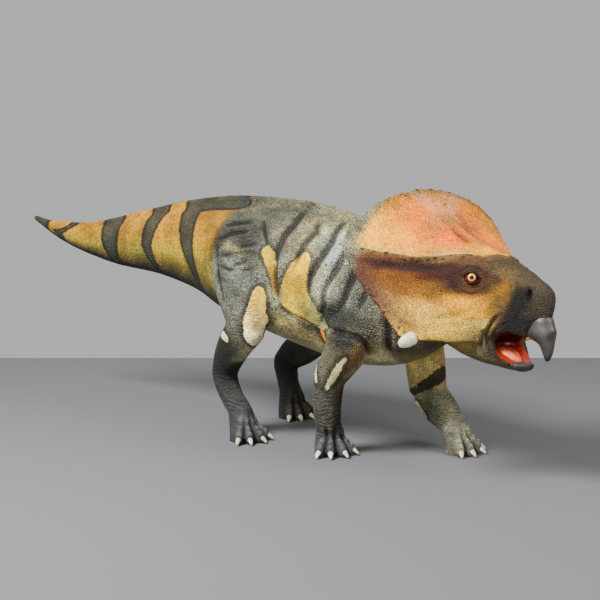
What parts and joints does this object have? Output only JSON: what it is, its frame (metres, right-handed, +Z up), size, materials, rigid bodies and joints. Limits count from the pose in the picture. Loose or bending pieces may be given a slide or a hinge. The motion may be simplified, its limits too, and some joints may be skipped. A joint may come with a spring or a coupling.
{
  "type": "horned dinosaur statue",
  "caption": "Life-size painted display statue of a small frilled, beaked dinosaur walking on all fours, standing free on its own feet.",
  "frame": {"origin": "middle of the statue's box in plan, at the level of the soles", "axes": "+X the way the statue walks, +Y to its left, +Z up"},
  "size_m": [2.1062, 0.6554, 0.8066],
  "materials": {
    "painted_skin": "hand-painted pebbled skin, satin",
    "painted_frill": "hand-painted pebbled skin, satin",
    "painted_tail": "hand-painted banded skin, satin",
    "painted_beak": "smooth grey horn, semi-gloss",
    "painted_horn": "smooth cream claw and cheek horn, semi-gloss",
    "painted_mouth": "salmon-red mouth lining, wet gloss",
    "cast_eye": "polished cast eye, high gloss"
  },
  "bodies": {
    "root": {"head": "painted_skin", "frill": "painted_frill", "upper_beak": "painted_beak", "lower_jaw": "painted_skin", "lower_beak": "painted_beak", "tongue": "painted_mouth", "right_eye": "cast_eye", "left_eye": "cast_eye", "right_cheek_horn": "painted_horn", "left_cheek_horn": "painted_horn", "neck": "painted_skin", "torso": "painted_skin", "tail_base": "painted_tail", "tail_middle": "painted_tail", "tail_tip": "painted_tail", "right_upper_arm": "painted_skin", "right_forearm": "painted_skin", "right_fore_foot": "painted_skin", "left_upper_arm": "painted_skin", "left_forearm": "painted_skin", "left_fore_foot": "painted_skin", "right_thigh": "painted_skin", "right_shank": "painted_skin", "right_hind_foot": "painted_skin", "left_thigh": "painted_skin", "left_shank": "painted_skin", "left_hind_foot": "painted_skin"}
  },
  "joints": []
}
